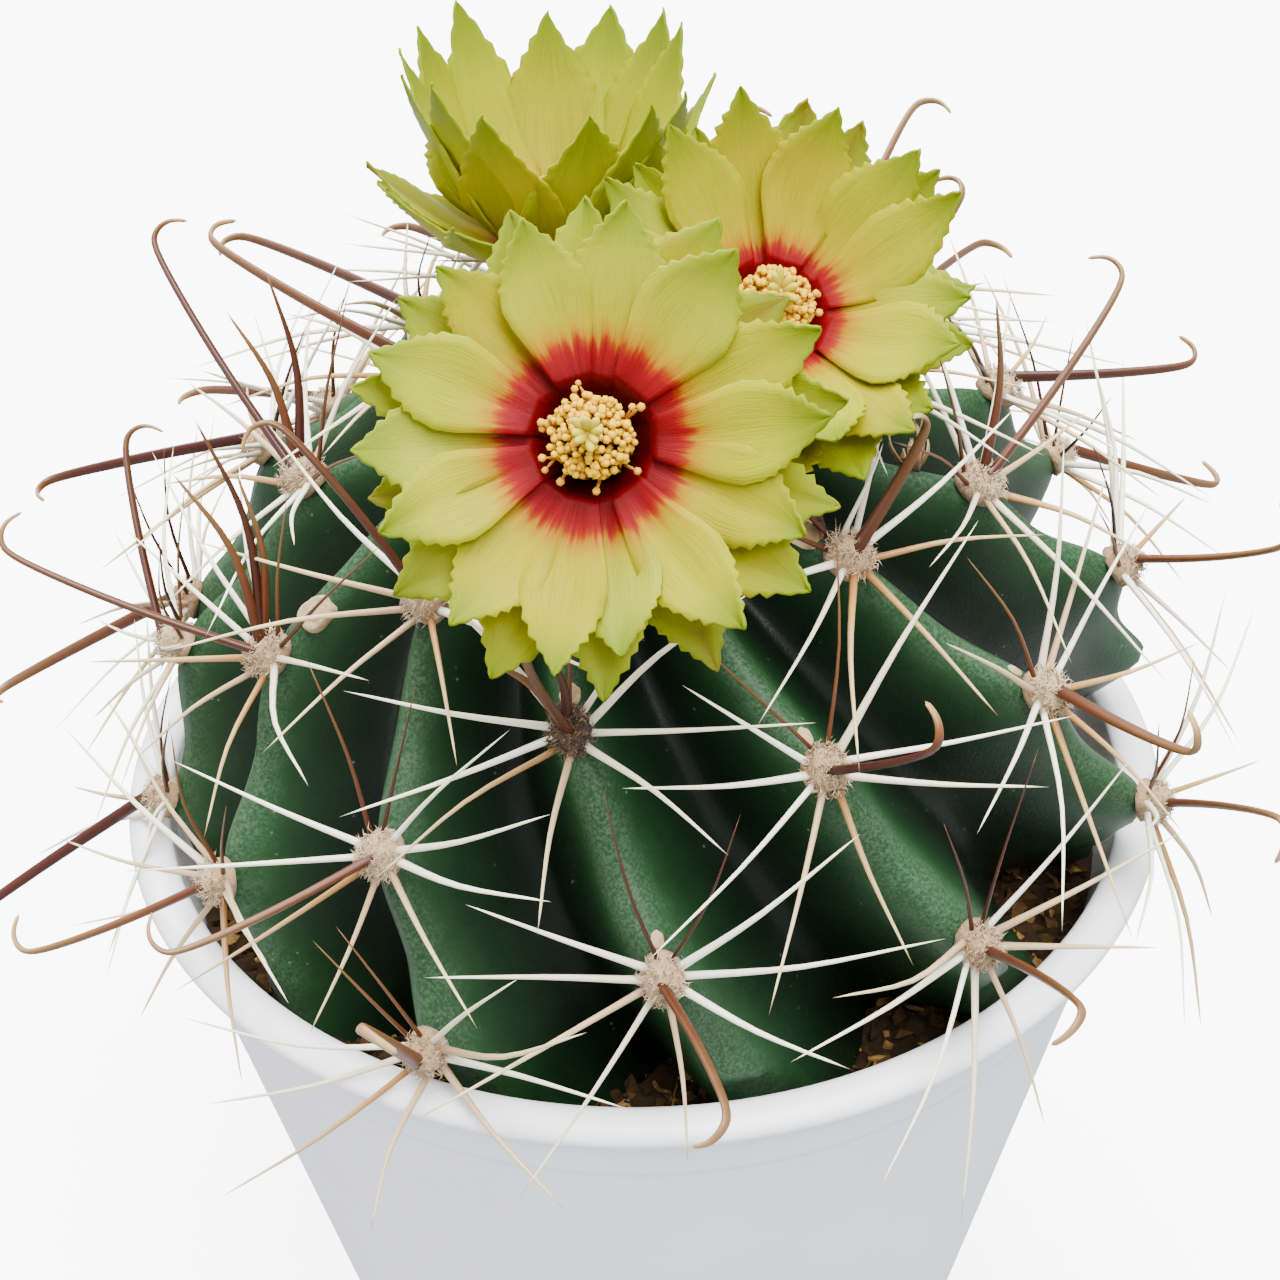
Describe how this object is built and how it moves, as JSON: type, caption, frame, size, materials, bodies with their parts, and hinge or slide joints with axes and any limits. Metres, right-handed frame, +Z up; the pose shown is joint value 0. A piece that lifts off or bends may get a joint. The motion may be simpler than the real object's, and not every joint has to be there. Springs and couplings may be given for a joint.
{
  "type": "potted cactus",
  "caption": "Round ribbed hook-spined cactus with open yellow flowers on its crown, growing in soil in a tapered white plastic pot.",
  "frame": {"origin": "centre of the pot's foot, on the flat face that it stands on", "axes": "+Z up along the pot's axis; -Y is the side with the foremost flower; +X to the right of it"},
  "size_m": [0.1131, 0.1151, 0.1369],
  "materials": {
    "white_plastic": "moulded, satin gloss",
    "potting_soil": "loose dark brown fibrous potting mix, matt",
    "stem_skin": "living green plant skin, fine-pebbled, semi-matt with a waxy bloom",
    "spine_horn": "smooth horny plant spines on woolly cushions",
    "tube_scales": "green scaly flower tube, semi-matt",
    "tepal_skin": "thin satin petal tissue",
    "pollen": "powdery yellow stamens",
    "stigma_skin": "soft pale yellow stigma lobes"
  },
  "bodies": {
    "root": {"pot": "white_plastic", "soil": "potting_soil", "cactus_stem": "stem_skin", "areole_01": "spine_horn", "areole_02": "spine_horn", "areole_03": "spine_horn", "areole_04": "spine_horn", "areole_05": "spine_horn", "areole_06": "spine_horn", "areole_07": "spine_horn", "areole_08": "spine_horn", "areole_09": "spine_horn", "areole_10": "spine_horn", "areole_11": "spine_horn", "areole_12": "spine_horn", "areole_13": "spine_horn", "areole_14": "spine_horn", "areole_15": "spine_horn", "areole_16": "spine_horn", "areole_17": "spine_horn", "areole_18": "spine_horn", "areole_19": "spine_horn", "areole_20": "spine_horn", "areole_21": "spine_horn", "areole_22": "spine_horn", "areole_23": "spine_horn", "areole_24": "spine_horn", "areole_25": "spine_horn", "areole_26": "spine_horn", "areole_27": "spine_horn", "areole_28": "spine_horn", "areole_29": "spine_horn", "areole_30": "spine_horn", "areole_31": "spine_horn", "areole_32": "spine_horn", "areole_33": "spine_horn", "front_flower_tube": "tube_scales", "front_flower_outer_tepals": "tepal_skin", "front_flower_inner_tepals": "tepal_skin", "front_flower_stamens": "pollen", "front_flower_style": "stigma_skin", "right_flower_tube": "tube_scales", "right_flower_outer_tepals": "tepal_skin", "right_flower_inner_tepals": "tepal_skin", "right_flower_stamens": "pollen", "right_flower_style": "stigma_skin", "rear_flower_tube": "tube_scales", "rear_flower_outer_tepals": "tepal_skin", "rear_flower_inner_tepals": "tepal_skin", "rear_flower_stamens": "pollen", "rear_flower_style": "stigma_skin"}
  },
  "joints": []
}
